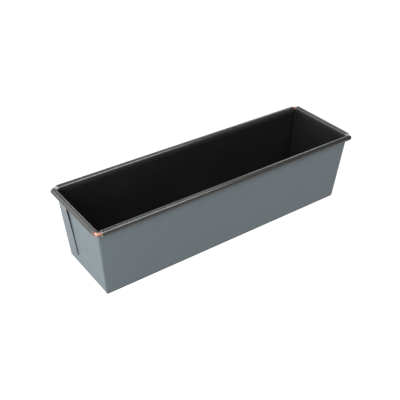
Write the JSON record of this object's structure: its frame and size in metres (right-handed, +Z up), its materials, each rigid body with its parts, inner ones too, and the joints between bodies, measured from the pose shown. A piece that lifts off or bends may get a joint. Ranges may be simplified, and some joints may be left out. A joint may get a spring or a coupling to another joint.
{
  "type": "loaf pan",
  "caption": "Long, narrow, tapered loaf pan of folded sheet steel, grey outside and black non-stick inside, with rolled rims over a wire hoop bare at the corners.",
  "frame": {"origin": "middle of the underside of the base, where the pan stands", "axes": "+X along the pan, +Y from the front long wall to the rear one, +Z up out of the pan's mouth"},
  "size_m": [0.306, 0.09, 0.0775],
  "materials": {
    "grey_lacquer": "satin blue-grey baked lacquer on steel sheet",
    "black_nonstick": "black semi-gloss non-stick coating on steel sheet",
    "coppered_wire": "thin copper wash on drawn steel wire"
  },
  "bodies": {
    "root": {"base_panel": "grey_lacquer", "front_wall": "grey_lacquer", "rear_wall": "grey_lacquer", "left_end_wall": "grey_lacquer", "right_end_wall": "grey_lacquer", "front_left_lap_tab": "grey_lacquer", "front_right_lap_tab": "grey_lacquer", "rear_left_lap_tab": "grey_lacquer", "rear_right_lap_tab": "grey_lacquer", "front_rim_roll": "black_nonstick", "rear_rim_roll": "black_nonstick", "left_rim_roll": "black_nonstick", "right_rim_roll": "black_nonstick", "rim_wire": "coppered_wire", "nonstick_lining": "black_nonstick"}
  },
  "joints": []
}
